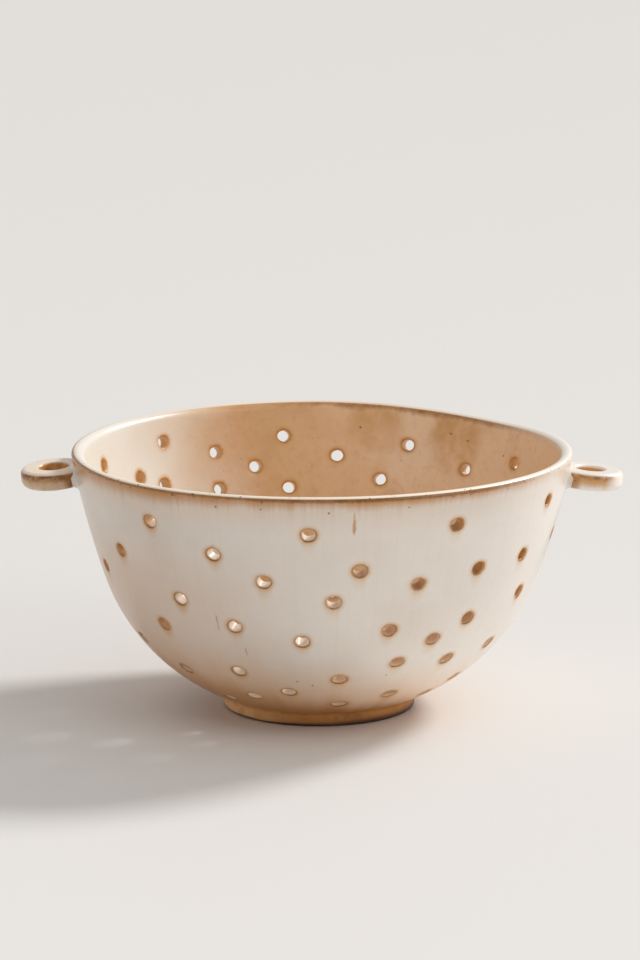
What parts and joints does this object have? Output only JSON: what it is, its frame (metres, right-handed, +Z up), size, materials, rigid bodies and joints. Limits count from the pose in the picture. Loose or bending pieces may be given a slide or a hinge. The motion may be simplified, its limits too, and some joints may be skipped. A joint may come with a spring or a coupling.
{
  "type": "berry colander bowl",
  "caption": "Round stoneware berry bowl with scattered drain holes through its wall and floor, a turned foot ring and a small loop lug on each side, for rinsing and serving fruit.",
  "frame": {"origin": "centre of the foot's tread, on the surface the bowl stands on", "axes": "+Z up along the bowl's axis, +X through the right lug as the picture shows it, -Y towards the viewer"},
  "size_m": [0.217, 0.18, 0.095],
  "materials": {
    "bowl_glaze": "semi-gloss cream glaze over iron-bearing stoneware, brown where it thins at edges",
    "foot_glaze": "thin satin glaze over brown clay",
    "lug_glaze": "semi-gloss cream glaze, brown on the edges",
    "seam_glaze": "semi-gloss cream glaze"
  },
  "bodies": {
    "root": {"bowl_shell": "bowl_glaze", "foot_ring": "foot_glaze", "foot_seam": "foot_glaze", "left_handle": "lug_glaze", "right_handle": "lug_glaze", "left_handle_seam": "seam_glaze", "right_handle_seam": "seam_glaze"}
  },
  "joints": []
}
